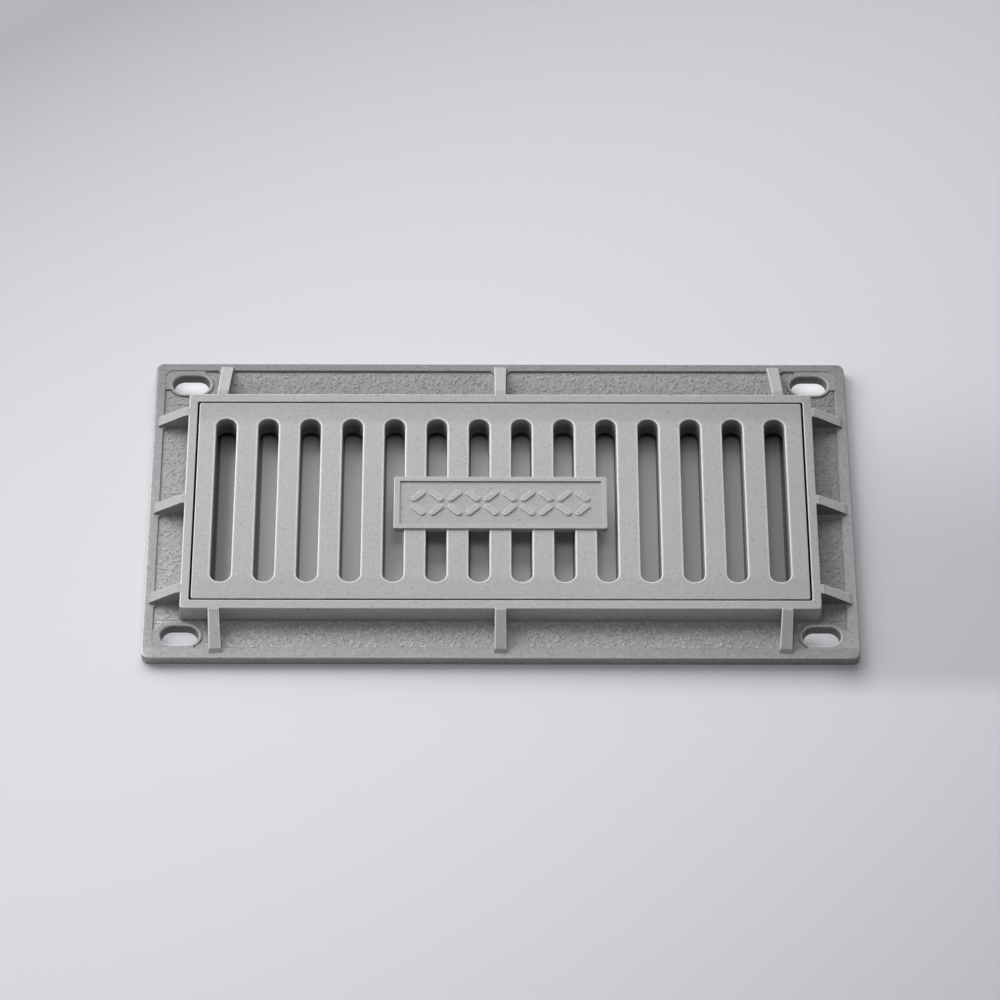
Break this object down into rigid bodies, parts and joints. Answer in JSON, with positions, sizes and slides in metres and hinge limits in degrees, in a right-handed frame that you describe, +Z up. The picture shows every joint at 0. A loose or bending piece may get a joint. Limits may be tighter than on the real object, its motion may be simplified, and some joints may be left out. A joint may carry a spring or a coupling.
{
  "type": "gully grate",
  "caption": "Slotted gully grate lying loose in a flanged frame with gussets and slotted corner holes for anchors.",
  "frame": {"origin": "middle of the frame's underside", "axes": "+X along the frame's length, +Y towards the back long side, +Z up out of the road surface"},
  "size_m": [0.966, 0.53, 0.0415],
  "materials": {
    "frame_moulding": "light grey glass-fibre moulding compound, matte, fine speckle, rough worm-like texture in the sunk panels",
    "grate_moulding": "light grey glass-fibre moulding compound, matte, fine speckle"
  },
  "bodies": {
    "root": {"frame": "frame_moulding", "grate": "grate_moulding"}
  },
  "joints": []
}
